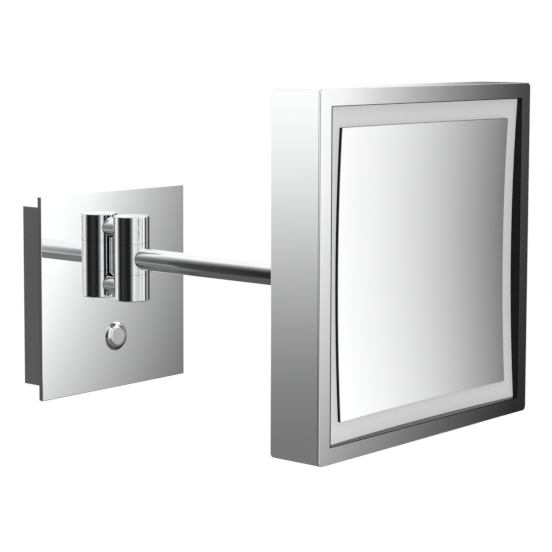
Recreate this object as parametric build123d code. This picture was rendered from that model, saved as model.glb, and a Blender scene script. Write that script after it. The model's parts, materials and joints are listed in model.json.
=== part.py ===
"""Wall-mounted shaving mirror: a lit square head on one swinging arm.

All sizes are in millimetres. The origin lies on the wall, at the middle of the base.
+Z is up, +X is to the right for someone who faces the wall, and the mirror faces -Y.
"""
import os

from build123d import *

# Base on the wall
BOX_SIZE = 115.0
BOX_DEPTH = 22.0
BOX_WALL = 2.5
BOX_CORNER = 0.6
BOX_FLANGE = 8.0
PLATE_SIZE = 130.0
PLATE_THICKNESS = 3.0
PLATE_CORNER = 0.8
BRACKET_SIZE = 106.0
BRACKET_THICKNESS = 1.5
BRACKET_CORNER = 4.0
BRACKET_TAB_WIDTH = 80.0
BRACKET_TAB_DEPTH = 12.0
WALL_SCREW_SPACING = 80.0
WALL_SCREW_HOLE = 5.2
STUD_SPACING = 100.0
STUD_DIAMETER = 4.0
STUD_LENGTH = 10.0
FIXING_SCREW_X = 30.0

# Electrical pieces in the base
CABLE_X = 28.0
CABLE_Z = -26.0
CABLE_BORE = 8.0
GROMMET_DIAMETER = 12.0
GROMMET_FLANGE = 16.0
GROMMET_LENGTH = 3.0
DRIVER_WIDTH = 32.0
DRIVER_HEIGHT = 70.0
DRIVER_DEPTH = 14.0
DRIVER_X = -30.0
TERMINAL_WIDTH = 24.0
TERMINAL_HEIGHT = 20.0
TERMINAL_DEPTH = 12.0
TERMINAL_Z = 2.0
TERMINAL_WAYS = 3
LEAD_DIAMETER = 2.4
LEAD_DEPTH = 8.0

# Push button
BUTTON_Z = -31.0
BUTTON_DIAMETER = 11.0
BUTTON_STEM = 5.0
BUTTON_FLANGE = 12.6
BUTTON_TRAVEL = 1.5
BUTTON_GAP = 0.12
BUTTON_EDGE = 0.2
COLLAR_DIAMETER = 18.8
COLLAR_MOUTH = 11.8
COLLAR_HEIGHT = 2.7
COLLAR_EDGE = 0.4
COLLAR_BULGE = 0.5
COLLAR_LIP = 3.7
COLLAR_SLEEVE = 16.0
COLLAR_SLEEVE_LENGTH = 15.0
COLLAR_NUT_DIAMETER = 24.0
SWITCH_DEPTH = 6.0

# Wall hinge
BARREL_DIAMETER = 23.5
BARREL_HEIGHT = 55.0
BARREL_Z = 22.0
BARREL_EDGE = 0.6
HINGE_STANDOFF = 15.0
ARM_KNUCKLE_HEIGHT = 20.0
HINGE_PIN_DIAMETER = 10.0
HINGE_PIN_BORE = 6.0
HINGE_BUSH_DIAMETER = 13.0
HINGE_CAP_DIAMETER = 14.0
HINGE_WASHER_DIAMETER = 17.6
POST_DIAMETER = 13.5
POST_SPIGOT = 6.0
POST_BORE = 3.2

# Arm
ARM_REACH = 174.0
ARM_DIAMETER = 14.0
ARM_BORE = 11.0

# Swivel at the head end of the arm
PAN_TO_TILT = 20.0
TILT_TO_HEAD = 11.0
PIVOT_DIAMETER = 22.0
PIVOT_HEIGHT = 24.0
PAN_PIN_DIAMETER = 8.0
PAN_PIN_BORE = 4.0
PAN_BUSH_DIAMETER = 11.0
PAN_WASHER_DIAMETER = 16.0
PAN_CAP_DIAMETER = 12.0
EAR_THICKNESS = 7.0
YOKE_WIDTH = 18.0
EYE_DIAMETER = 13.0
EYE_WIDTH = 19.0
TILT_PIN_DIAMETER = 6.0
TILT_PIN_HEAD = 10.0
LUG_THICKNESS = 4.0
LUG_DIAMETER = 14.0
TILT_BASE_WIDTH = 50.0
TILT_BASE_HEIGHT = 44.0
TILT_BASE_THICKNESS = 3.0
TILT_SCREW_SPACING_X = 38.0
TILT_SCREW_SPACING_Z = 32.0

# Head
HEAD_SIZE = 200.0
HEAD_DEPTH = 34.0
HEAD_RISE = 16.5
HEAD_CORNER = 3.0
BEZEL_WIDTH = 9.0
BEZEL_THICKNESS = 1.0
BEZEL_SEAM = 0.3
INNER_FRAME_SIDE = 1.0
INNER_FRAME_END = 0.45
INNER_FRAME_FLANGE = 1.2
INNER_FRAME_DEPTH = 11.5
INNER_FRAME_SETBACK = 0.1
SHELL_WALL = 1.5
BACK_COVER_THICKNESS = 0.8
STANDOFF_DIAMETER = 5.0
STANDOFF_SPACING = 190.0
HEAD_SCREW_DIAMETER = 2.5
HEAD_LEAD_DROP = 16.0
HEAD_LEAD_UPPER_BEND = 1.8
HEAD_LEAD_LOWER_BEND = 1.4

# Light and mirror
CURVE_RADIUS = 1350.0
DIFFUSER_THICKNESS = 3.0
DIFFUSER_CENTRE_DEPTH = 8.7
CARRIER_SIZE = 158.4
CARRIER_THICKNESS = 1.5
MIRROR_SIZE = 158.0
MIRROR_THICKNESS = 0.5
MIRROR_BOND = 0.1
PANEL_CORNER = 0.5
TRAY_SIZE = 176.0
TRAY_WALL = 1.2
TRAY_STANDOFF = 5.3
TRAY_SPACER_SPACING = 120.0
STRIP_LENGTH = 160.0
STRIP_WIDTH = 8.0
STRIP_THICKNESS = 1.2
STRIP_OFFSET = 80.0
CHIP_SIZE = 3.0
CHIP_HEIGHT = 0.8
CHIP_PITCH = 14.0
CHIPS_PER_STRIP = 10

# Small hardware
NUT_THICKNESS = 3.2
CAP_THICKNESS = 2.0
WASHER_RECESS = 0.8
SOCKET_WALL = 0.5
KEY_DEPTH = 1.0

# Fits and gaps
RUNNING_GAP = 0.05
KNUCKLE_GAP = 0.12
SEAM_GAP = 0.2
FREE_GAP = 0.3
EDGE_BREAK = 0.4

# Places worked out from the sizes above
PLATE_BACK_Y = -BOX_DEPTH
PLATE_FACE_Y = PLATE_BACK_Y - PLATE_THICKNESS
HINGE_Y = PLATE_FACE_Y - HINGE_STANDOFF
PAN_Y = HINGE_Y - ARM_REACH
TILT_Y = PAN_Y - PAN_TO_TILT
HEAD_BACK_Y = TILT_Y - TILT_TO_HEAD
HEAD_FACE_Y = HEAD_BACK_Y - HEAD_DEPTH
BEZEL_OPENING = HEAD_SIZE - 2 * BEZEL_WIDTH
HOLLOW_WIDTH = BEZEL_OPENING - 2 * INNER_FRAME_SIDE
HOLLOW_HEIGHT = BEZEL_OPENING - 2 * INNER_FRAME_END
BEZEL_BACK_Y = HEAD_FACE_Y + BEZEL_THICKNESS
SHELL_FRONT_Y = BEZEL_BACK_Y + BEZEL_SEAM
SHELL_INNER_Y = HEAD_BACK_Y - SHELL_WALL
TRAY_BACK_Y = HEAD_BACK_Y - TRAY_STANDOFF
TRAY_FLOOR_Y = TRAY_BACK_Y - TRAY_WALL
TILT_BASE_Y = HEAD_BACK_Y + TILT_BASE_THICKNESS
ARM_Z = BARREL_Z
HEAD_Z = ARM_Z + HEAD_RISE
HEAD_LEAD_Z = ARM_Z - HEAD_LEAD_DROP
BARREL_TOP = BARREL_Z + BARREL_HEIGHT / 2
BARREL_BOTTOM = BARREL_Z - BARREL_HEIGHT / 2
KNUCKLE_TOP = BARREL_Z + ARM_KNUCKLE_HEIGHT / 2
KNUCKLE_BOTTOM = BARREL_Z - ARM_KNUCKLE_HEIGHT / 2
UPPER_POST_Z = (BARREL_TOP + KNUCKLE_TOP + KNUCKLE_GAP) / 2
LOWER_POST_Z = (BARREL_BOTTOM + KNUCKLE_BOTTOM - KNUCKLE_GAP) / 2
PIVOT_TOP = ARM_Z + PIVOT_HEIGHT / 2
PIVOT_BOTTOM = ARM_Z - PIVOT_HEIGHT / 2
CURVE_CENTRE_Y = HEAD_FACE_Y + DIFFUSER_CENTRE_DEPTH - CURVE_RADIUS
CARRIER_RADIUS = CURVE_RADIUS - MIRROR_BOND - CARRIER_THICKNESS
MIRROR_RADIUS = CARRIER_RADIUS - MIRROR_THICKNESS
ARM_SOCKET = HINGE_BUSH_DIAMETER / 2 + SOCKET_WALL
PIVOT_SOCKET = PAN_BUSH_DIAMETER / 2 + 2 * SOCKET_WALL


def rod_x(diameter, x0, x1, y, z):
    """Round bar along X."""
    return Pos((x0 + x1) / 2, y, z) * Rot(Y=90) * Cylinder(diameter / 2, abs(x1 - x0))


def rod_y(diameter, y0, y1, x, z):
    """Round bar along Y."""
    return Pos(x, (y0 + y1) / 2, z) * Rot(X=90) * Cylinder(diameter / 2, abs(y1 - y0))


def rod_z(diameter, z0, z1, y):
    """Round upright bar in the middle plane."""
    return Pos(0, y, (z0 + z1) / 2) * Cylinder(diameter / 2, abs(z1 - z0))


def tube_z(outer, inner, z0, z1, y):
    """Round upright tube in the middle plane."""
    return rod_z(outer, z0, z1, y) - rod_z(inner, z0, z1, y)


def block(x0, x1, y0, y1, z0, z1):
    """Box between two opposite corners."""
    centre = Pos((x0 + x1) / 2, (y0 + y1) / 2, (z0 + z1) / 2)
    return centre * Box(abs(x1 - x0), abs(y1 - y0), abs(z1 - z0))


def slab(width, height, y0, y1, z, corner):
    """Upright plate parallel to the wall, with round corners."""
    plate = block(-width / 2, width / 2, y0, y1, z - height / 2, z + height / 2)
    return fillet(plate.edges().filter_by(Axis.Y), corner)


def square(size, y0, y1, z, corner):
    """Square upright plate parallel to the wall."""
    return slab(size, size, y0, y1, z, corner)


def hexagon(diameter, start, direction, length):
    """Hexagon bar from a start point, with its size across the corners."""
    outline = Plane(origin=start, z_dir=direction) * RegularPolygon(diameter / 2, 6)
    return extrude(outline, length)


def hex_nut_y(diameter, hole, y0, y1, x, z):
    """Hexagon nut on an axis along Y."""
    return hexagon(diameter, (x, y0, z), (0, 1, 0), y1 - y0) - rod_y(hole, y0, y1, x, z)


def socket_screw_y(diameter, tip, seat, cap_height, x, z):
    """Screw along Y whose round head, on the wall side, has a hexagon socket."""
    end = seat + cap_height
    cap = rod_y(2 * diameter, seat, end, x, z)
    cap = fillet(cap.edges().sort_by(Axis.Y)[-1], BARREL_EDGE)
    cap -= hexagon(diameter, (x, end - KEY_DEPTH, z), (0, 1, 0), KEY_DEPTH)
    return cap + rod_y(diameter, tip, seat, x, z)


def corners(spacing_x, spacing_z, z):
    """The four places (x, z) at the corners of a rectangle around height z."""
    return [(sx * spacing_x / 2, z + sz * spacing_z / 2) for sx in (-1, 1) for sz in (-1, 1)]


def group(pieces):
    """Separate solids that share one node."""
    return Part() + list(pieces)


def lead(points, radii):
    """Round lead along straight runs joined by arcs."""
    path = FilletPolyline(*points, radius=radii)
    return sweep(Plane(path @ 0, z_dir=path % 0) * Circle(LEAD_DIAMETER / 2), path=path)


def ball(radius):
    """Large ball whose near side gives the hollow of the mirror and the diffuser."""
    return Pos(0, CURVE_CENTRE_Y, HEAD_Z) * Sphere(radius)


def dished_panel(width, height, front_radius, thickness):
    """Upright panel with a hollow front and a back parallel to it."""
    panel = slab(width, height, HEAD_FACE_Y - HEAD_DEPTH, HEAD_BACK_Y, HEAD_Z, PANEL_CORNER)
    return (panel & ball(front_radius + thickness)) - ball(front_radius)


def wall_bracket():
    half = BRACKET_SIZE / 2
    bracket = square(BRACKET_SIZE, -BRACKET_THICKNESS, 0, 0, BRACKET_CORNER)
    for side in (-1, 1):
        bracket += block(-BRACKET_TAB_WIDTH / 2, BRACKET_TAB_WIDTH / 2, -BRACKET_TAB_DEPTH, 0,
                         side * (half - BRACKET_THICKNESS), side * half)
    for x, z in corners(WALL_SCREW_SPACING, WALL_SCREW_SPACING, 0):
        bracket -= rod_y(WALL_SCREW_HOLE, -BRACKET_THICKNESS, 0, x, z)
    return bracket - rod_y(GROMMET_DIAMETER, -BRACKET_THICKNESS, 0, CABLE_X, CABLE_Z)


def cable_grommet():
    sleeve = rod_y(GROMMET_DIAMETER, -GROMMET_LENGTH, 0, CABLE_X, CABLE_Z)
    flange = rod_y(GROMMET_FLANGE, -GROMMET_LENGTH, -BRACKET_THICKNESS, CABLE_X, CABLE_Z)
    return sleeve + flange - rod_y(CABLE_BORE, -GROMMET_LENGTH, 0, CABLE_X, CABLE_Z)


def base_box():
    inner = BOX_SIZE - 2 * BOX_WALL
    opening = inner - 2 * BOX_FLANGE
    flange_back = PLATE_BACK_Y + BOX_WALL
    box = square(BOX_SIZE, PLATE_BACK_Y, 0, 0, BOX_CORNER)
    box -= square(inner, flange_back, 0, 0, BOX_CORNER)
    box -= square(opening, PLATE_BACK_Y, flange_back, 0, BOX_CORNER)
    for x, z in corners(STUD_SPACING, STUD_SPACING, 0):
        box -= rod_y(STUD_DIAMETER + SEAM_GAP, PLATE_BACK_Y, flange_back, x, z)
    return box - fixing_rods()


def fixing_places():
    return [Pos(x, -BRACKET_TAB_DEPTH / 2, 0) for x in (-FIXING_SCREW_X, FIXING_SCREW_X)]


def fixing_rods():
    """Bars from under the box to the bracket's lower tab."""
    rod = rod_z(STUD_DIAMETER, -BOX_SIZE / 2, -BRACKET_SIZE / 2, 0)
    return group(place * rod for place in fixing_places())


def fixing_screws():
    """Set screws that press on the bracket's lower tab, turned by a key from below."""
    socket = hexagon(STUD_DIAMETER / 2, (0, 0, -BOX_SIZE / 2), (0, 0, 1), KEY_DEPTH)
    return fixing_rods() - [place * socket for place in fixing_places()]


def cover_plate():
    plate = square(PLATE_SIZE, PLATE_FACE_Y, PLATE_BACK_Y, 0, PLATE_CORNER)
    plate = fillet(plate.faces().sort_by(Axis.Y)[0].outer_wire().edges(), EDGE_BREAK)
    for z in (UPPER_POST_Z, LOWER_POST_Z):
        plate -= rod_y(POST_SPIGOT, PLATE_FACE_Y, PLATE_BACK_Y, 0, z)
    return plate - rod_y(COLLAR_SLEEVE, PLATE_FACE_Y, PLATE_BACK_Y, 0, BUTTON_Z)


def cover_studs():
    places = corners(STUD_SPACING, STUD_SPACING, 0)
    return group(rod_y(STUD_DIAMETER, PLATE_BACK_Y, PLATE_BACK_Y + STUD_LENGTH, x, z) for x, z in places)


def cover_nuts():
    y0 = PLATE_BACK_Y + BOX_WALL
    y1 = y0 + NUT_THICKNESS
    places = corners(STUD_SPACING, STUD_SPACING, 0)
    return group(hex_nut_y(2 * STUD_DIAMETER, STUD_DIAMETER, y0, y1, x, z) for x, z in places)


def led_driver():
    y1 = -BRACKET_THICKNESS
    half_width = DRIVER_WIDTH / 2
    driver = block(DRIVER_X - half_width, DRIVER_X + half_width, y1 - DRIVER_DEPTH, y1,
                   -DRIVER_HEIGHT / 2, DRIVER_HEIGHT / 2)
    return fillet(driver.faces().sort_by(Axis.Y)[0].edges(), BOX_CORNER)


def terminal_block():
    y1 = -BRACKET_THICKNESS
    y0 = y1 - TERMINAL_DEPTH
    half_width = TERMINAL_WIDTH / 2
    pitch = TERMINAL_WIDTH / TERMINAL_WAYS
    body = block(CABLE_X - half_width, CABLE_X + half_width, y0, y1,
                 TERMINAL_Z - TERMINAL_HEIGHT / 2, TERMINAL_Z + TERMINAL_HEIGHT / 2)
    for way in range(TERMINAL_WAYS):
        x = CABLE_X + (way - (TERMINAL_WAYS - 1) / 2) * pitch
        body -= rod_y(pitch / 2, y0, y0 + TERMINAL_DEPTH / 2, x, TERMINAL_Z)
    return body


def input_lead():
    return rod_x(LEAD_DIAMETER, DRIVER_X + DRIVER_WIDTH / 2, CABLE_X - TERMINAL_WIDTH / 2,
                 -LEAD_DEPTH, -LEAD_DEPTH / 2)


def base_lead():
    """Lead from the driver, through the lower post and up the hollow hinge pin."""
    z = LOWER_POST_Z
    start = (DRIVER_X + DRIVER_WIDTH / 2, -LEAD_DEPTH, z)
    points = [start, (0, -LEAD_DEPTH, z), (0, HINGE_Y, z), (0, HINGE_Y, ARM_Z)]
    return lead(points, [2 * LEAD_DIAMETER, LEAD_DIAMETER])


def hinge_post(z):
    shoulder = rod_y(POST_DIAMETER, HINGE_Y, PLATE_FACE_Y, 0, z)
    shoulder -= rod_z(BARREL_DIAMETER, BARREL_BOTTOM, BARREL_TOP, HINGE_Y)
    return shoulder + post_spigot(z)


def post_spigot(z):
    """Threaded part of a post, from behind the plate into the knuckle."""
    inner_end = HINGE_Y + HINGE_PIN_DIAMETER / 2 + SEAM_GAP
    outer_end = PLATE_BACK_Y + 2 * NUT_THICKNESS
    return rod_y(POST_SPIGOT, inner_end, outer_end, 0, z)


def lower_post():
    return hinge_post(LOWER_POST_Z) - rod_y(POST_BORE, HINGE_Y, 0, 0, LOWER_POST_Z)


def post_nuts():
    y1 = PLATE_BACK_Y + NUT_THICKNESS
    places = (UPPER_POST_Z, LOWER_POST_Z)
    return group(hex_nut_y(2 * POST_SPIGOT, POST_SPIGOT, PLATE_BACK_Y, y1, 0, z) for z in places)


def hinge_washers():
    """Friction washers in the recesses of the two fixed knuckles."""
    thickness = WASHER_RECESS + KNUCKLE_GAP / 2
    inner = HINGE_PIN_DIAMETER + 2 * SEAM_GAP
    upper = KNUCKLE_TOP + KNUCKLE_GAP + WASHER_RECESS
    lower = KNUCKLE_BOTTOM - KNUCKLE_GAP - WASHER_RECESS
    return group([tube_z(HINGE_WASHER_DIAMETER, inner, upper - thickness, upper, HINGE_Y),
                  tube_z(HINGE_WASHER_DIAMETER, inner, lower, lower + thickness, HINGE_Y)])


def upper_knuckle():
    bottom = KNUCKLE_TOP + KNUCKLE_GAP
    knuckle = rod_z(BARREL_DIAMETER, bottom, BARREL_TOP, HINGE_Y)
    knuckle = fillet(knuckle.edges().sort_by(Axis.Z)[-1], BARREL_EDGE)
    knuckle -= rod_z(HINGE_PIN_DIAMETER, bottom, BARREL_TOP - CAP_THICKNESS, HINGE_Y)
    knuckle -= rod_z(HINGE_WASHER_DIAMETER, bottom, bottom + WASHER_RECESS, HINGE_Y)
    return knuckle - post_spigot(UPPER_POST_Z)


def lower_knuckle():
    top = KNUCKLE_BOTTOM - KNUCKLE_GAP
    knuckle = rod_z(BARREL_DIAMETER, BARREL_BOTTOM, top, HINGE_Y)
    knuckle = fillet(knuckle.edges().sort_by(Axis.Z)[0], BARREL_EDGE)
    knuckle -= rod_z(HINGE_PIN_DIAMETER, BARREL_BOTTOM, top, HINGE_Y)
    knuckle -= rod_z(HINGE_CAP_DIAMETER, BARREL_BOTTOM, BARREL_BOTTOM + CAP_THICKNESS, HINGE_Y)
    knuckle -= rod_z(HINGE_WASHER_DIAMETER, top - WASHER_RECESS, top, HINGE_Y)
    knuckle -= rod_y(POST_BORE, HINGE_Y, PLATE_FACE_Y, 0, LOWER_POST_Z)
    return knuckle - post_spigot(LOWER_POST_Z)


def hinge_cap():
    return rod_z(HINGE_CAP_DIAMETER, BARREL_BOTTOM, BARREL_BOTTOM + CAP_THICKNESS, HINGE_Y)


def hinge_pin():
    pin = tube_z(HINGE_PIN_DIAMETER, HINGE_PIN_BORE, BARREL_BOTTOM + CAP_THICKNESS,
                 BARREL_TOP - CAP_THICKNESS, HINGE_Y)
    pin -= rod_y(POST_BORE, HINGE_Y, PLATE_FACE_Y, 0, LOWER_POST_Z)
    return pin - rod_y(POST_BORE, PAN_Y, HINGE_Y, 0, ARM_Z)


def button_collar():
    """Domed collar on the plate with its threaded sleeve behind."""
    front = PLATE_FACE_Y - COLLAR_HEIGHT
    sleeve_back = PLATE_FACE_Y + COLLAR_SLEEVE_LENGTH
    edge = (COLLAR_DIAMETER / 2, PLATE_FACE_Y - COLLAR_EDGE)
    mouth = (COLLAR_MOUTH / 2, front)
    dome = SagittaArc(mouth, edge, -COLLAR_BULGE)
    sides = Polyline(edge, (COLLAR_DIAMETER / 2, PLATE_FACE_Y), (0, PLATE_FACE_Y), (0, front), mouth)
    collar = revolve(Pos(0, 0, BUTTON_Z) * make_face([dome, sides]), Axis((0, 0, BUTTON_Z), (0, 1, 0)))
    collar += rod_y(COLLAR_SLEEVE, PLATE_FACE_Y, sleeve_back, 0, BUTTON_Z)
    collar -= rod_y(BUTTON_DIAMETER + 2 * BUTTON_GAP, front, sleeve_back, 0, BUTTON_Z)
    return collar - rod_y(BUTTON_FLANGE + 2 * FREE_GAP, front + COLLAR_LIP, sleeve_back, 0, BUTTON_Z)


def collar_nut():
    y1 = PLATE_BACK_Y + NUT_THICKNESS
    return hex_nut_y(COLLAR_NUT_DIAMETER, COLLAR_SLEEVE, PLATE_BACK_Y, y1, 0, BUTTON_Z)


def switch_body():
    front = PLATE_FACE_Y + COLLAR_SLEEVE_LENGTH
    back = front + SWITCH_DEPTH
    body = rod_y(COLLAR_SLEEVE, front, back, 0, BUTTON_Z)
    for x in (-LEAD_DIAMETER, LEAD_DIAMETER):
        body += rod_y(LEAD_DIAMETER / 2, back, back + LEAD_DIAMETER / 2, x, BUTTON_Z)
    return body


def push_button():
    front = PLATE_FACE_Y - COLLAR_HEIGHT
    flange_front = front + COLLAR_LIP + FREE_GAP
    flange_back = flange_front + CAP_THICKNESS
    stem_end = PLATE_FACE_Y + COLLAR_SLEEVE_LENGTH - BUTTON_TRAVEL - 2 * FREE_GAP
    cap = rod_y(BUTTON_DIAMETER, front, flange_front, 0, BUTTON_Z)
    cap = fillet(cap.edges().sort_by(Axis.Y)[0], BUTTON_EDGE)
    cap += rod_y(BUTTON_FLANGE, flange_front, flange_back, 0, BUTTON_Z)
    return cap + rod_y(BUTTON_STEM, flange_back, stem_end, 0, BUTTON_Z)


def arm_knuckle():
    knuckle = tube_z(BARREL_DIAMETER, HINGE_BUSH_DIAMETER, KNUCKLE_BOTTOM, KNUCKLE_TOP, HINGE_Y)
    knuckle -= rod_y(ARM_DIAMETER, PAN_Y, HINGE_Y - ARM_SOCKET, 0, ARM_Z)
    return knuckle - rod_y(POST_BORE, PAN_Y, HINGE_Y, 0, ARM_Z)


def hinge_bush():
    bore = HINGE_PIN_DIAMETER + 2 * RUNNING_GAP
    bush = tube_z(HINGE_BUSH_DIAMETER, bore, KNUCKLE_BOTTOM, KNUCKLE_TOP, HINGE_Y)
    return bush - rod_y(POST_BORE, PAN_Y, HINGE_Y, 0, ARM_Z)


def arm_tube():
    y0 = PAN_Y + PIVOT_SOCKET
    y1 = HINGE_Y - ARM_SOCKET
    return rod_y(ARM_DIAMETER, y0, y1, 0, ARM_Z) - rod_y(ARM_BORE, y0, y1, 0, ARM_Z)


def arm_lead():
    return rod_y(LEAD_DIAMETER, PAN_Y + PIVOT_SOCKET, HINGE_Y - ARM_SOCKET, 0, ARM_Z)


def pivot_barrel():
    barrel = rod_z(PIVOT_DIAMETER, PIVOT_BOTTOM, PIVOT_TOP, PAN_Y)
    barrel = fillet(barrel.edges().filter_by(GeomType.CIRCLE), EDGE_BREAK)
    barrel -= rod_z(PAN_BUSH_DIAMETER, PIVOT_BOTTOM, PIVOT_TOP, PAN_Y)
    barrel -= rod_y(ARM_DIAMETER, PAN_Y + PIVOT_SOCKET, HINGE_Y, 0, ARM_Z)
    return barrel - rod_y(POST_BORE, PAN_Y, HINGE_Y, 0, ARM_Z)


def pan_bush():
    bore = PAN_PIN_DIAMETER + 2 * RUNNING_GAP
    return tube_z(PAN_BUSH_DIAMETER, bore, PIVOT_BOTTOM, PIVOT_TOP, PAN_Y)


def ear(z0, z1):
    """Round end of the yoke with its neck towards the head."""
    half = YOKE_WIDTH / 2
    return rod_z(PIVOT_DIAMETER, z0, z1, PAN_Y) + block(-half, half, yoke_front(), PAN_Y, z0, z1)


def yoke_front():
    """Front face of the yoke's web, behind the tilt axis."""
    return TILT_Y + EYE_DIAMETER / 4


def swivel_yoke():
    half = YOKE_WIDTH / 2
    top = PIVOT_TOP + FREE_GAP
    bottom = PIVOT_BOTTOM - FREE_GAP
    web_back = PAN_Y - PIVOT_DIAMETER / 2 - 2 * FREE_GAP
    yoke = ear(top, top + EAR_THICKNESS) + ear(bottom - EAR_THICKNESS, bottom)
    yoke += block(-half, half, yoke_front(), web_back, bottom, top)
    yoke += rod_x(EYE_DIAMETER, -EYE_WIDTH / 2, EYE_WIDTH / 2, TILT_Y, ARM_Z)
    yoke -= rod_x(TILT_PIN_DIAMETER + 2 * RUNNING_GAP, -EYE_WIDTH / 2, EYE_WIDTH / 2, TILT_Y, ARM_Z)
    yoke -= rod_z(PAN_WASHER_DIAMETER, top, top + WASHER_RECESS, PAN_Y)
    yoke -= rod_z(PAN_WASHER_DIAMETER, bottom - WASHER_RECESS, bottom, PAN_Y)
    return yoke - pan_pin_space() - pan_cap()


def pan_pin_space():
    """Solid bar that fills the pan pin's whole length."""
    bottom = PIVOT_BOTTOM - FREE_GAP - EAR_THICKNESS + CAP_THICKNESS
    top = PIVOT_TOP + FREE_GAP + EAR_THICKNESS - CAP_THICKNESS
    return rod_z(PAN_PIN_DIAMETER, bottom, top, PAN_Y)


def pan_pin():
    return pan_pin_space() - rod_z(PAN_PIN_BORE, BARREL_BOTTOM, BARREL_TOP, PAN_Y)


def pan_cap():
    bottom = PIVOT_BOTTOM - FREE_GAP - EAR_THICKNESS
    return rod_z(PAN_CAP_DIAMETER, bottom, bottom + CAP_THICKNESS, PAN_Y)


def pan_washers():
    thickness = WASHER_RECESS + SEAM_GAP
    inner = PAN_PIN_DIAMETER + 2 * SEAM_GAP
    upper = PIVOT_TOP + FREE_GAP + WASHER_RECESS
    lower = PIVOT_BOTTOM - FREE_GAP - WASHER_RECESS
    return group([tube_z(PAN_WASHER_DIAMETER, inner, upper - thickness, upper, PAN_Y),
                  tube_z(PAN_WASHER_DIAMETER, inner, lower, lower + thickness, PAN_Y)])


def lug_inner():
    """Distance from the middle to a lug's inner face, past the eye and its washer."""
    return EYE_WIDTH / 2 + 3 * FREE_GAP


def tilt_screw_places():
    return corners(TILT_SCREW_SPACING_X, TILT_SCREW_SPACING_Z, ARM_Z)


def tilt_screw_holes():
    hole = STUD_DIAMETER + SEAM_GAP
    return group(rod_y(hole, TRAY_BACK_Y, TILT_BASE_Y, x, z) for x, z in tilt_screw_places())


def head_lead_hole():
    return rod_y(3 * LEAD_DIAMETER, TRAY_BACK_Y, TILT_Y, 0, HEAD_LEAD_Z)


def tilt_bracket():
    bracket = slab(TILT_BASE_WIDTH, TILT_BASE_HEIGHT, HEAD_BACK_Y, TILT_BASE_Y, ARM_Z, BRACKET_CORNER)
    bracket -= tilt_screw_holes()
    bracket -= head_lead_hole()
    for side in (-1, 1):
        x0 = side * lug_inner()
        x1 = side * (lug_inner() + LUG_THICKNESS)
        bracket += block(x0, x1, TILT_BASE_Y, TILT_Y, ARM_Z - LUG_DIAMETER / 2, ARM_Z + LUG_DIAMETER / 2)
        bracket += rod_x(LUG_DIAMETER, x0, x1, TILT_Y, ARM_Z)
        bracket -= rod_x(TILT_PIN_DIAMETER, x0, x1, TILT_Y, ARM_Z)
    return bracket


def tilt_pin():
    outer = lug_inner() + LUG_THICKNESS
    pin = rod_x(TILT_PIN_DIAMETER, -outer, outer + NUT_THICKNESS, TILT_Y, ARM_Z)
    head = rod_x(TILT_PIN_HEAD, -outer - CAP_THICKNESS, -outer, TILT_Y, ARM_Z)
    head = fillet(head.edges().sort_by(Axis.X)[0], BARREL_EDGE)
    socket_start = (-outer - CAP_THICKNESS, TILT_Y, ARM_Z)
    return pin + head - hexagon(TILT_PIN_DIAMETER, socket_start, (1, 0, 0), KEY_DEPTH)


def tilt_nut():
    x0 = lug_inner() + LUG_THICKNESS
    nut = hexagon(2 * TILT_PIN_DIAMETER, (x0, TILT_Y, ARM_Z), (1, 0, 0), NUT_THICKNESS)
    return nut - rod_x(TILT_PIN_DIAMETER, x0, x0 + NUT_THICKNESS, TILT_Y, ARM_Z)


def tilt_washers():
    inner = TILT_PIN_DIAMETER + 2 * SEAM_GAP
    washers = []
    for side in (-1, 1):
        x0 = side * (EYE_WIDTH / 2 + SEAM_GAP)
        x1 = side * lug_inner()
        washers.append(rod_x(EYE_DIAMETER, x0, x1, TILT_Y, ARM_Z) - rod_x(inner, x0, x1, TILT_Y, ARM_Z))
    return group(washers)


def bracket_screws():
    tip = TRAY_BACK_Y + 2 * FREE_GAP
    return group(socket_screw_y(STUD_DIAMETER, tip, TILT_BASE_Y, CAP_THICKNESS, x, z)
                 for x, z in tilt_screw_places())


def backing_plate():
    """Steel plate inside the head that the tilt bracket is screwed to."""
    y0 = SHELL_INNER_Y - CAP_THICKNESS
    plate = slab(TILT_BASE_WIDTH, TILT_BASE_HEIGHT, y0, SHELL_INNER_Y, ARM_Z, BRACKET_CORNER)
    slot_half = 3 * LEAD_DIAMETER / 2
    plate -= block(-slot_half, slot_half, y0, SHELL_INNER_Y, ARM_Z - TILT_BASE_HEIGHT, HEAD_LEAD_Z)
    return plate - tilt_screw_holes() - head_lead_hole()


def head_grommet():
    flange_back = TILT_BASE_Y + LEAD_DIAMETER / 2
    sleeve = rod_y(3 * LEAD_DIAMETER, SHELL_INNER_Y, flange_back, 0, HEAD_LEAD_Z)
    flange = rod_y(4 * LEAD_DIAMETER, TILT_BASE_Y, flange_back, 0, HEAD_LEAD_Z)
    return sleeve + flange - rod_y(LEAD_DIAMETER + SEAM_GAP, SHELL_INNER_Y, flange_back, 0, HEAD_LEAD_Z)


def head_lead():
    """Lead from the grommet, down behind the reflector tray, to the lower light strip."""
    y = (SHELL_INNER_Y + TRAY_BACK_Y) / 2
    strip_z = HEAD_Z - STRIP_OFFSET
    start = TILT_BASE_Y + LEAD_DIAMETER / 2
    points = [(0, start, HEAD_LEAD_Z), (0, y, HEAD_LEAD_Z), (0, y, strip_z), (0, TRAY_FLOOR_Y, strip_z)]
    return lead(points, [HEAD_LEAD_UPPER_BEND, HEAD_LEAD_LOWER_BEND])


def head_shell():
    inner = HEAD_SIZE - 2 * SHELL_WALL
    shell = square(HEAD_SIZE, SHELL_FRONT_Y, HEAD_BACK_Y, HEAD_Z, HEAD_CORNER)
    shell = fillet(shell.faces().sort_by(Axis.Y)[-1].outer_wire().edges(), BARREL_EDGE)
    shell -= square(inner, SHELL_FRONT_Y, SHELL_INNER_Y, HEAD_Z, HEAD_CORNER - SHELL_WALL)
    shell -= back_panel(inner)
    return shell - back_holes()


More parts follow.
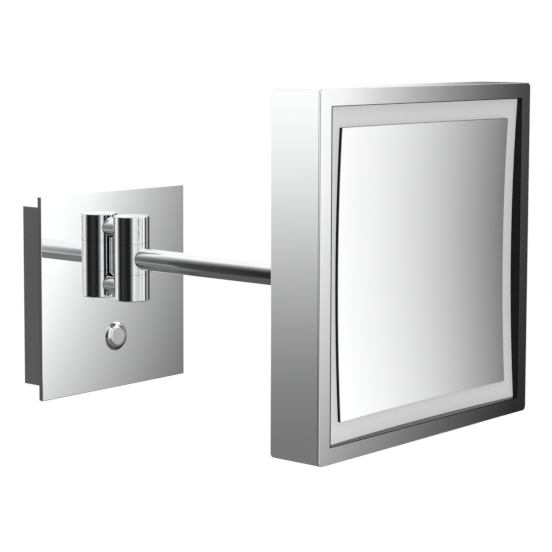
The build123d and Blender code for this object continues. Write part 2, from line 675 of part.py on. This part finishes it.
def back_panel(size):
    """Square sheet in the plane of the head's back."""
    return square(size, HEAD_BACK_Y - BACK_COVER_THICKNESS, HEAD_BACK_Y, HEAD_Z, HEAD_CORNER - SHELL_WALL)


def back_holes():
    """Holes through the head's back for the screws and the lead."""
    hole = HEAD_SCREW_DIAMETER + SEAM_GAP
    screws = [rod_y(hole, SHELL_INNER_Y, HEAD_BACK_Y, x, z) for x, z in standoff_places()]
    return group(screws) + tilt_screw_holes() + head_lead_hole()


def back_cover():
    """Pale sheet let into the back of the shell, held by the screws."""
    return back_panel(HEAD_SIZE - 2 * SHELL_WALL - 2 * SEAM_GAP) - back_holes()


def bezel():
    frame = square(HEAD_SIZE, HEAD_FACE_Y, BEZEL_BACK_Y, HEAD_Z, HEAD_CORNER)
    frame = fillet(frame.faces().sort_by(Axis.Y)[0].outer_wire().edges(), EDGE_BREAK)
    return frame - square(BEZEL_OPENING, HEAD_FACE_Y, BEZEL_BACK_Y, HEAD_Z, PANEL_CORNER)


def inner_frame():
    """Dark frame that lines the bezel's opening and holds the diffuser."""
    front = HEAD_FACE_Y + INNER_FRAME_SETBACK
    back = HEAD_FACE_Y + INNER_FRAME_DEPTH
    frame = square(BEZEL_OPENING, front, back, HEAD_Z, PANEL_CORNER)
    frame += square(BEZEL_OPENING + 2 * INNER_FRAME_FLANGE, BEZEL_BACK_Y, back, HEAD_Z, HEAD_CORNER)
    return frame - slab(HOLLOW_WIDTH, HOLLOW_HEIGHT, front, back, HEAD_Z, PANEL_CORNER)


def bezel_gasket():
    """Dark gasket in the seam between the bezel and the shell's rim."""
    outer = HEAD_SIZE - SHELL_WALL
    inner = outer - SHELL_WALL
    ring = square(outer, BEZEL_BACK_Y, SHELL_FRONT_Y, HEAD_Z, HEAD_CORNER)
    return ring - square(inner, BEZEL_BACK_Y, SHELL_FRONT_Y, HEAD_Z, HEAD_CORNER)


def standoff_places():
    return corners(STANDOFF_SPACING, STANDOFF_SPACING, HEAD_Z)


def bezel_standoffs():
    tapped_end = SHELL_INNER_Y - 2 * STANDOFF_DIAMETER
    posts = []
    for x, z in standoff_places():
        post = rod_y(STANDOFF_DIAMETER, BEZEL_BACK_Y, SHELL_INNER_Y, x, z)
        posts.append(post - rod_y(HEAD_SCREW_DIAMETER, tapped_end, SHELL_INNER_Y, x, z))
    return group(posts)


def bezel_screws():
    tip = SHELL_INNER_Y - STANDOFF_DIAMETER
    return group(socket_screw_y(HEAD_SCREW_DIAMETER, tip, HEAD_BACK_Y, SHELL_WALL, x, z)
                 for x, z in standoff_places())


def tray_spacers():
    places = corners(TRAY_SPACER_SPACING, TRAY_SPACER_SPACING, HEAD_Z)
    return group(rod_y(STRIP_WIDTH, TRAY_BACK_Y, SHELL_INNER_Y, x, z) for x, z in places)


def reflector_tray():
    """White tray behind the diffuser, with a rim that follows the diffuser's back."""
    inner = TRAY_SIZE - 2 * TRAY_WALL
    strip_z = HEAD_Z - STRIP_OFFSET
    tray = square(TRAY_SIZE, HEAD_FACE_Y, TRAY_BACK_Y, HEAD_Z, HEAD_CORNER)
    tray -= square(inner, HEAD_FACE_Y, TRAY_FLOOR_Y, HEAD_Z, HEAD_CORNER - TRAY_WALL)
    tray -= ball(CURVE_RADIUS + DIFFUSER_THICKNESS + MIRROR_BOND)
    return tray - rod_y(LEAD_DIAMETER + SEAM_GAP, TRAY_FLOOR_Y, TRAY_BACK_Y, 0, strip_z)


def strip_frames():
    """Four places round the tray, as turns about the head's middle axis."""
    return [Pos(0, 0, HEAD_Z) * Rot(Y=90 * turn) * Pos(0, 0, STRIP_OFFSET) for turn in range(4)]


def led_strips():
    half = STRIP_LENGTH / 2 - STRIP_WIDTH
    y0 = TRAY_FLOOR_Y - STRIP_THICKNESS
    strip = block(-half, half, y0, TRAY_FLOOR_Y, -STRIP_WIDTH / 2, STRIP_WIDTH / 2)
    return group(place * strip for place in strip_frames())


def led_chips():
    y1 = TRAY_FLOOR_Y - STRIP_THICKNESS
    half = CHIP_SIZE / 2
    chip = block(-half, half, y1 - CHIP_HEIGHT, y1, -half, half)
    first = -(CHIPS_PER_STRIP - 1) / 2 * CHIP_PITCH
    row = [Pos(first + index * CHIP_PITCH, 0, 0) for index in range(CHIPS_PER_STRIP)]
    return group(place * step * chip for place in strip_frames() for step in row)


def diffuser():
    width = HOLLOW_WIDTH - 2 * SEAM_GAP
    height = HOLLOW_HEIGHT - 2 * SEAM_GAP
    return dished_panel(width, height, CURVE_RADIUS, DIFFUSER_THICKNESS)


def mirror_carrier():
    """Dark plate that stands the mirror off the diffuser."""
    return dished_panel(CARRIER_SIZE, CARRIER_SIZE, CARRIER_RADIUS, CARRIER_THICKNESS)


def mirror_glass():
    return dished_panel(MIRROR_SIZE, MIRROR_SIZE, MIRROR_RADIUS, MIRROR_THICKNESS)


def assembly():
    """Every piece by its name."""
    makers = [
        wall_bracket, cable_grommet, base_box, fixing_screws, cover_plate, cover_studs, cover_nuts,
        led_driver, terminal_block, input_lead, base_lead, lower_post, post_nuts, hinge_washers,
        upper_knuckle, lower_knuckle, hinge_cap, hinge_pin, button_collar, collar_nut, switch_body,
        push_button, arm_knuckle, hinge_bush, arm_tube, arm_lead, pivot_barrel, pan_bush,
        swivel_yoke, pan_pin, pan_cap, pan_washers, tilt_bracket, tilt_pin, tilt_nut, tilt_washers,
        bracket_screws, backing_plate, head_grommet, head_lead, head_shell, back_cover, bezel,
        inner_frame, bezel_gasket, bezel_standoffs, bezel_screws, tray_spacers, reflector_tray, led_strips,
        led_chips, diffuser, mirror_carrier, mirror_glass,
    ]
    pieces = {maker.__name__: maker() for maker in makers}
    pieces["upper_post"] = hinge_post(UPPER_POST_Z)
    return pieces


os.makedirs("parts", exist_ok=True)
for name, piece in assembly().items():
    export_step(piece, f"parts/{name}.step")
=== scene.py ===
"""Finishes, studio light and camera for the wall-mounted shaving mirror.

Lengths are in metres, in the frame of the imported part: the wall is at y = 0, +z is up,
and the mirror faces -y.
"""
import json
import math

import bpy
from mathutils import Matrix, Vector

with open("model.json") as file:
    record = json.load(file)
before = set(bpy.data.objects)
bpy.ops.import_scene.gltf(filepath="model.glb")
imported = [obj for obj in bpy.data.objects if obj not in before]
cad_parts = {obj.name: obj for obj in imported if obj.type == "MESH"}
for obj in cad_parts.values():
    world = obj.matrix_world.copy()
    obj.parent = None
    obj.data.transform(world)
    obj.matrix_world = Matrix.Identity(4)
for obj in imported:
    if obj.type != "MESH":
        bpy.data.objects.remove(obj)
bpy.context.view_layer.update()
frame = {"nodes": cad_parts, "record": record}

# Camera of the photograph, with its angles in degrees and its lens in millimetres
CAMERA_PLACE = (-0.8336, -0.8750, 0.1651)
CAMERA_YAW = 49.513
CAMERA_PITCH = -5.411
CAMERA_ROLL = 0.168
CAMERA_LENS = 118.74
CAMERA_SHIFT = -0.12
CAMERA_REACH = 50.0

# Light on the object, and the level of the background behind it
WORLD_LEVEL = 0.65
BACKGROUND_LEVEL = 1.0
KEY_LAMP = dict(place=(-1.1, -1.2, 1.5), size=1.4, watts=9.0)
FILL_LAMP = dict(place=(1.3, -0.9, 1.0), size=1.2, watts=2.5)
BACK_LAMP = dict(place=(0.3, 1.2, 0.8), size=1.0, watts=13.0)
LAMP_TARGET = (0.0, -0.15, 0.03)
WHITE = (1.0, 1.0, 1.0, 1.0)

# Floor
FLOOR_Z = -0.62
FLOOR_HALF = 9.0
FLOOR_COLOUR = (0.80, 0.80, 0.80, 1.0)
FLOOR_LIFT = 0.48

# Grain of the finishes: how much wider the grain of the colour is than that of the relief,
# how many octaves each has, and the part of the noise over which the colour changes
COARSE_WIDTH = 8
COARSE_DETAIL = 3.0
FINE_DETAIL = 4.0
TINT_RANGE = (0.3, 0.7)

# Painted light on the light panel, which is not lit: a weak glow that flattens its shading, stronger at
# the left side of the head than at the right, as if lit from the left
PAINTED_PANEL_LIGHT = (0.445, 0.355)
HEAD_HALF = 0.1

# How much of the light polished chrome gives back
CHROME = 0.95

# Studio cards: mesh steps each way, axes, lower edge just above the floor, and common upper edge
CARD_GRID = 40
ALONG_X = (1, 0, 0)
ALONG_Y = (0, 1, 0)
UP = (0, 0, 1)
CARD_FOOT = -0.61
CARD_TOP = 1.2

# Places of the cards that stand square to the frame
RIGHT_X = 2.3
FRONT_Y = -2.1
LEFT_X = -0.60
ABOVE_Z = 2.0
LEFT_FLAG_X = -0.130
UNDER_FLAG_Z = -0.130

# Places and level axes of the cards that stand at an angle
RIGHT_FRONT_PLACE = Vector((0.7413, -0.6712, 0)) * 2.05
RIGHT_FRONT_AXIS = (0.6712, 0.7413, 0)
LEFT_BACK_PLACE = (-0.8336, 0.351, 0)
LEFT_BACK_AXIS = (0.641, 0.7675, 0)
RIGHT_BACK_PLACE = (0.6224, 0.4578, 0)
RIGHT_BACK_AXIS = (0.5925, -0.8056, 0)
MIRROR_PLACE = (0.1770, -0.4003, 0)
MIRROR_AXIS = (0.5861, 0.8102, 0)

# Lengths that the fall of light is counted in on two of the cards
RIGHT_FRONT_UNIT = 0.3
MIRROR_UNIT = 0.1


def clamp(value, low=0.0, high=1.0):
    return max(low, min(high, value))


def smooth(low, high, value):
    """Soft step from 0 at low to 1 at high."""
    share = clamp((value - low) / (high - low))
    return share * share * (3 - 2 * share)


def mix(low, high, share):
    """Number this share of the way from low to high."""
    return low + (high - low) * share


def linear(shade):
    """Light that shows as this shade of grey, from 0 to 1, on the screen."""
    shade = clamp(shade)
    return shade / 12.92 if shade <= 0.04045 else ((shade + 0.055) / 1.055) ** 2.4


def shown(shade):
    """Card light that shows as this shade of grey in polished chrome."""
    return linear(shade) / CHROME


def add(tree, kind, inputs=None, **settings):
    """One shader node with its settings, its input values and its incoming links."""
    node = tree.nodes.new(kind)
    for key, value in settings.items():
        setattr(node, key, value)
    for key, value in (inputs or {}).items():
        if isinstance(value, bpy.types.NodeSocket):
            tree.links.new(value, node.inputs[key])
        else:
            node.inputs[key].default_value = value
    return node


def empty_material(name):
    """A material without nodes, and its node tree."""
    material = bpy.data.materials.new(name)
    material.use_nodes = True
    material.node_tree.nodes.clear()
    return material, material.node_tree


def noise(tree, scale, detail):
    """Noise over the object's own place, with scale in turns per metre."""
    place = add(tree, "ShaderNodeTexCoord").outputs["Object"]
    texture = add(tree, "ShaderNodeTexNoise", {"Vector": place, "Scale": scale, "Detail": detail})
    return texture.outputs["Fac"]


def between(tree, factor, low, high):
    """Number that goes from low to high with the factor."""
    spread = add(tree, "ShaderNodeMapRange", {"Value": factor, "To Min": low, "To Max": high})
    return spread.outputs["Result"]


def tint(tree, factor, dark, light):
    """Colour between two near shades."""
    ramp = add(tree, "ShaderNodeValToRGB", {"Fac": factor})
    for stop, position, colour in zip(ramp.color_ramp.elements, TINT_RANGE, (dark, light)):
        stop.position = position
        stop.color = (*colour, 1.0)
    return ramp.outputs["Color"]


def bump(tree, height, strength, distance):
    """Surface normal of a fine relief."""
    values = {"Height": height, "Strength": strength, "Distance": distance}
    return add(tree, "ShaderNodeBump", values).outputs["Normal"]


def across(tree, left, right):
    """Number that goes from left to right over the width of the head."""
    place = add(tree, "ShaderNodeTexCoord").outputs["Object"]
    side = add(tree, "ShaderNodeSeparateXYZ", {"Vector": place}).outputs["X"]
    limits = {"From Min": -HEAD_HALF, "From Max": HEAD_HALF, "To Min": left, "To Max": right}
    return add(tree, "ShaderNodeMapRange", {"Value": side, **limits}).outputs["Result"]


def finish(name, colours, grain, roughness, relief, metallic=0.0, specular=0.5, glow=None):
    """Surface with a fine grain in its colour, its roughness and its relief.

    colours is a pair of near shades; grain is the noise scale; roughness is a range;
    relief is the strength and the depth of the bump; glow is painted light that it gives off
    at the left and the right side of the head, standing in for the shading of the light on it.
    """
    material, tree = empty_material(name)
    coarse = noise(tree, grain / COARSE_WIDTH, COARSE_DETAIL)
    fine = noise(tree, grain, FINE_DETAIL)
    values = {
        "Base Color": tint(tree, coarse, *colours),
        "Roughness": between(tree, fine, *roughness),
        "Normal": bump(tree, fine, *relief),
        "Metallic": metallic,
        "Specular IOR Level": specular,
    }
    # Painted light: the glow falls from left to right across the head in place of the panel's shading
    if glow:
        values["Emission Color"] = WHITE
        values["Emission Strength"] = across(tree, *glow)
    surface = add(tree, "ShaderNodeBsdfPrincipled", values)
    add(tree, "ShaderNodeOutputMaterial", {"Surface": surface.outputs["BSDF"]})
    return material


# One finish for every material slot of the record
FINISHES = {
    "polished_chrome": finish(
        "chrome", [(0.940, 0.945, 0.950), (0.955, 0.958, 0.962)],
        grain=240.0, roughness=(0.012, 0.03), relief=(0.002, 0.00002), metallic=1.0),
    "mirror_silver": finish(
        "silvered_glass", [(0.955, 0.960, 0.960), (0.965, 0.968, 0.968)],
        grain=60.0, roughness=(0.0, 0.006), relief=(0.0005, 0.00001), metallic=1.0),
    "zinc_steel": finish(
        "zinc_plate", [(0.50, 0.51, 0.53), (0.62, 0.63, 0.64)],
        grain=900.0, roughness=(0.28, 0.42), relief=(0.10, 0.00005), metallic=1.0),
    # Light panel: a dim colour with a painted glow that stands in for the light on it
    "opal_diffuser": finish(
        "opal_panel_painted_light", [(0.300, 0.300, 0.300), (0.315, 0.315, 0.315)],
        grain=3000.0, roughness=(0.50, 0.60), relief=(0.05, 0.00004), specular=0.2, glow=PAINTED_PANEL_LIGHT),
    "satin_button": finish(
        "satin_steel", [(0.79, 0.79, 0.80), (0.83, 0.83, 0.84)],
        grain=2600.0, roughness=(0.30, 0.36), relief=(0.02, 0.00001), metallic=1.0),
    "satin_cover": finish(
        "satin_sheet", [(0.79, 0.79, 0.79), (0.82, 0.82, 0.82)],
        grain=1400.0, roughness=(0.48, 0.58), relief=(0.05, 0.00004), specular=0.3),
    "white_plastic": finish(
        "white_moulding", [(0.80, 0.80, 0.79), (0.86, 0.86, 0.85)],
        grain=1800.0, roughness=(0.40, 0.52), relief=(0.08, 0.00006)),
    "black_rubber": finish(
        "soft_rubber", [(0.020, 0.020, 0.021), (0.035, 0.035, 0.036)],
        grain=2400.0, roughness=(0.62, 0.80), relief=(0.20, 0.00010)),
    "bearing_plastic": finish(
        "bearing_acetal", [(0.74, 0.72, 0.66), (0.80, 0.78, 0.72)],
        grain=1500.0, roughness=(0.30, 0.42), relief=(0.06, 0.00005)),
    "grey_lead": finish(
        "lead_sheath", [(0.26, 0.26, 0.27), (0.33, 0.33, 0.34)],
        grain=2000.0, roughness=(0.45, 0.60), relief=(0.12, 0.00006)),
    "black_plastic": finish(
        "black_moulding", [(0.004, 0.004, 0.004), (0.008, 0.008, 0.008)],
        grain=2600.0, roughness=(0.03, 0.06), relief=(0.02, 0.00002), specular=0.15),
    "light_strip": finish(
        "coated_strip", [(0.84, 0.84, 0.82), (0.90, 0.90, 0.88)],
        grain=1600.0, roughness=(0.32, 0.44), relief=(0.05, 0.00004)),
    "light_chip": finish(
        "phosphor", [(0.86, 0.72, 0.28), (0.94, 0.84, 0.44)],
        grain=3200.0, roughness=(0.36, 0.50), relief=(0.15, 0.00006)),
}


def dress_nodes():
    """Gives every CAD node the finish of its material slot."""
    for part in frame["record"]["subparts"]:
        node = frame["nodes"][part["node"]]
        node.data.materials.clear()
        node.data.materials.append(FINISHES[part["material_slot"]])


def card_finish():
    """Plain glow that takes its level from the mesh of the card."""
    material, tree = empty_material("card_glow")
    colour = add(tree, "ShaderNodeAttribute", attribute_name="glow").outputs["Color"]
    light = add(tree, "ShaderNodeEmission", {"Color": colour, "Strength": 1.0})
    add(tree, "ShaderNodeOutputMaterial", {"Surface": light.outputs["Emission"]})
    material.cycles.emission_sampling = "NONE"
    return material


CARD_FINISH = card_finish()


def card(name, centre, across_axis, up_axis, glow, span, rise, slant=0.0):
    """Studio card that only polished surfaces see.

    span and rise are its ends along the two axes, from the centre, and slant is how far
    its lower edge climbs along the span. glow gives the light of a point from its place
    along the two axes.
    """
    centre = Vector(centre)
    across_axis = Vector(across_axis).normalized()
    up_axis = Vector(up_axis).normalized()
    steps = [step / CARD_GRID for step in range(CARD_GRID + 1)]
    places = []
    for t in steps:
        for s in steps:
            low = rise[0] + slant * s
            places.append((mix(*span, s), mix(low, rise[1], t)))
    row = CARD_GRID + 1
    corners = [column + row * line for line in range(CARD_GRID) for column in range(CARD_GRID)]
    faces = [(first, first + 1, first + row + 1, first + row) for first in corners]
    mesh = bpy.data.meshes.new(name)
    mesh.from_pydata([centre + across_axis * s + up_axis * t for s, t in places], [], faces)
    light = mesh.color_attributes.new("glow", "FLOAT_COLOR", "POINT")
    for point, place in zip(light.data, places):
        level = glow(*place)
        point.color = (level, level, level, 1.0)
    mesh.materials.append(CARD_FINISH)
    piece = bpy.data.objects.new(name, mesh)
    piece.visible_camera = False
    piece.visible_diffuse = False
    piece.visible_transmission = False
    piece.visible_shadow = False
    bpy.context.scene.collection.objects.link(piece)


def right_front_glow(s, z):
    """White on the left, dark in the middle, grey again on the far right."""
    s, z = s / RIGHT_FRONT_UNIT, z / RIGHT_FRONT_UNIT
    shade = 0.632 - 0.684 * s + 0.094 * z - 0.039 * s * s - 0.102 * s * z - 0.027 * z * z
    near_light = linear(clamp(shade, 0.16, 1.0))
    far_light = 0.40
    return mix(near_light, far_light, smooth(0.8, 2.6, s)) / CHROME


def right_glow(y, z):
    """Dark straight to the right of the plate, grey behind it and above."""
    behind = 0.3 * smooth(0.1, 0.5, y)
    above = 0.4 * smooth(0.1, 0.9, z)
    return 0.04 + behind + above


def front_glow(x, z):
    """Light on the left, grey on the right, lighter towards the top."""
    left = 0.50 * smooth(-0.30, 0.40, -x)
    above = 0.28 * smooth(-0.1, 0.9, z)
    return 0.22 + left + above


def left_glow(y, z):
    """Black beside the hinge, light towards the front, and lighter above and below."""
    wall = 0.010 * smooth(-0.20, -0.05, y)
    front = 0.9 * clamp((-0.40 - y) / 0.6) ** 1.6
    above = smooth(0.0, 2.2, z)
    below = 0.3 * smooth(0.12, 0.40, -z)
    return mix(0.012 + wall + front, 1.0, above + below)


def left_back_glow(s, z):
    """Light at the level of the head's top, grey below."""
    return shown(mix(0.463, 1.0, smooth(-0.292, 0.138, z)))


def right_back_glow(s, z):
    """Falls off to the right, dark in the middle of its height and light at the bottom."""
    upper = 1 - 0.055 * smooth(0.12, 0.20, s) - 0.65 * smooth(0.19, 0.36, s)
    shade = mix(0.30, upper, smooth(-0.05, 0.08, z))
    return shown(mix(shade, 1.0, smooth(0.22, 0.48, -z)))


def left_flag_glow(y, z):
    """Dark beside the arm, grey by the wall, fading to white above the arm."""
    wall = 0.023 * smooth(-0.06, 0.0, y)
    behind = 0.060 * smooth(0.0, 0.075, y)
    return mix(0.022 + wall + behind, 1.0, smooth(0.03, 0.36, z))


def under_flag_glow(x, y):
    """Dark below the arm, black to the right of the button, lighter below the head and far behind."""
    wall = 0.03 * smooth(-0.08, 0.0, y)
    button = 0.06 * smooth(0.04, 0.09, x) * smooth(0.02, 0.04, -y)
    head = 0.12 * smooth(0.08, 0.13, -y)
    behind = 0.80 * smooth(0.28, 0.40, y)
    return 0.075 + wall - button + head + behind


def above_glow(x, y):
    """Soft grey overhead, lighter on the left."""
    return 0.34 + 0.42 * smooth(-0.9, 0.9, -x)


def mirror_glow(s, z):
    """What the concave glass shows: white on the left, grey on the right, darker at the bottom right."""
    share = s / MIRROR_UNIT
    right = 0.018 * smooth(0.0, 0.03, s)
    corner = 0.022 * smooth(-0.01, 0.03, s) * smooth(0.02, 0.08, -z)
    return shown(0.837 - 0.721 * share - 0.657 * share * share - right - corner)


def make_cards():
    """Ring of cards and flags round the object, and one in front of the glass."""
    card("card_right_front", RIGHT_FRONT_PLACE, RIGHT_FRONT_AXIS, UP, right_front_glow,
         span=(-0.9, 1.3), rise=(CARD_FOOT, 0.9))
    card("card_right", (RIGHT_X, 0, 0), ALONG_Y, UP, right_glow,
         span=(-0.45, 0.8), rise=(CARD_FOOT, CARD_TOP))
    card("card_front", (0, FRONT_Y, 0), ALONG_X, UP, front_glow,
         span=(-0.8, 0.7), rise=(CARD_FOOT, CARD_TOP))
    card("card_left", (LEFT_X, 0, 0), ALONG_Y, UP, left_glow,
         span=(-1.15, -0.08), rise=(CARD_FOOT, CARD_TOP))
    card("card_left_back", LEFT_BACK_PLACE, LEFT_BACK_AXIS, UP, left_back_glow,
         span=(-0.35, 0.35), rise=(-0.5, 0.5))
    card("card_right_back", RIGHT_BACK_PLACE, RIGHT_BACK_AXIS, UP, right_back_glow,
         span=(-0.3, 0.6), rise=(-0.5, 0.6))
    card("flag_left", (LEFT_FLAG_X, 0, 0), ALONG_Y, UP, left_flag_glow,
         span=(-0.072, 0.35), rise=(-0.15, 0.60))
    card("flag_under", (0, 0, UNDER_FLAG_Z), ALONG_X, ALONG_Y, under_flag_glow,
         span=(-0.25, 0.55), rise=(-0.22, 0.40))
    card("flag_under_head", (0, 0, UNDER_FLAG_Z), ALONG_X, ALONG_Y, under_flag_glow,
         span=(-0.25, 0.150), rise=(-0.40, -0.22))
    card("card_above", (0, 0, ABOVE_Z), ALONG_X, ALONG_Y, above_glow,
         span=(-0.9, 0.9), rise=(-1.0, 1.2))
    card("card_mirror", MIRROR_PLACE, MIRROR_AXIS, UP, mirror_glow,
         span=(-0.045, 0.045), rise=(-0.092, 0.110), slant=0.018)


def background_share(tree):
    """1 for rays that see the background: from the camera and in polished surfaces."""
    path = add(tree, "ShaderNodeLightPath").outputs
    rays = {0: path["Is Camera Ray"], 1: path["Is Glossy Ray"]}
    return add(tree, "ShaderNodeMath", rays, operation="ADD", use_clamp=True).outputs[0]


def make_world():
    """White background that lights matt surfaces more weakly than it shows."""
    world = bpy.data.worlds.new("studio")
    world.use_nodes = True
    tree = world.node_tree
    tree.nodes.clear()
    level = between(tree, background_share(tree), WORLD_LEVEL, BACKGROUND_LEVEL)
    sky = add(tree, "ShaderNodeBackground", {"Color": WHITE, "Strength": level})
    add(tree, "ShaderNodeOutputWorld", {"Surface": sky.outputs["Background"]})
    bpy.context.scene.world = world


def make_floor():
    """Pale floor that reads as white where no shadow falls on it."""
    material, tree = empty_material("pale_floor")
    matt = add(tree, "ShaderNodeBsdfDiffuse", {"Color": FLOOR_COLOUR})
    lift = between(tree, background_share(tree), 0.0, FLOOR_LIFT)
    light = add(tree, "ShaderNodeEmission", {"Color": WHITE, "Strength": lift})
    both = add(tree, "ShaderNodeAddShader", {0: matt.outputs[0], 1: light.outputs[0]})
    add(tree, "ShaderNodeOutputMaterial", {"Surface": both.outputs[0]})
    material.cycles.emission_sampling = "NONE"
    sides = [(-1, -1), (1, -1), (1, 1), (-1, 1)]
    corners = [(x * FLOOR_HALF, y * FLOOR_HALF, FLOOR_Z) for x, y in sides]
    mesh = bpy.data.meshes.new("floor")
    mesh.from_pydata(corners, [], [(0, 1, 2, 3)])
    mesh.materials.append(material)
    floor = bpy.data.objects.new("floor", mesh)
    bpy.context.scene.collection.objects.link(floor)


def make_lamp(name, place, size, watts):
    """Square lamp that points at the object and isn't seen in polished surfaces."""
    lamp = bpy.data.lights.new(name, "AREA")
    lamp.shape = "SQUARE"
    lamp.size = size
    lamp.energy = watts
    holder = bpy.data.objects.new(name, lamp)
    holder.location = place
    holder.rotation_euler = (Vector(LAMP_TARGET) - Vector(place)).to_track_quat("-Z", "Y").to_euler()
    holder.visible_glossy = False
    bpy.context.scene.collection.objects.link(holder)


def make_camera():
    """Camera that sees the object as the photograph does."""
    data = bpy.data.cameras.new("camera")
    data.lens = CAMERA_LENS
    data.shift_y = CAMERA_SHIFT
    data.clip_end = CAMERA_REACH
    camera = bpy.data.objects.new("camera", data)
    turn = Matrix.Rotation(math.radians(-CAMERA_YAW), 4, "Z")
    lean = Matrix.Rotation(math.radians(90 + CAMERA_PITCH), 4, "X")
    roll = Matrix.Rotation(math.radians(CAMERA_ROLL), 4, "Z")
    camera.matrix_world = Matrix.Translation(CAMERA_PLACE) @ turn @ lean @ roll
    bpy.context.scene.collection.objects.link(camera)
    bpy.context.scene.camera = camera


dress_nodes()
make_cards()
make_world()
make_floor()
make_lamp("key", **KEY_LAMP)
make_lamp("fill", **FILL_LAMP)
make_lamp("back", **BACK_LAMP)
make_camera()
bpy.context.scene.view_settings.view_transform = "Standard"
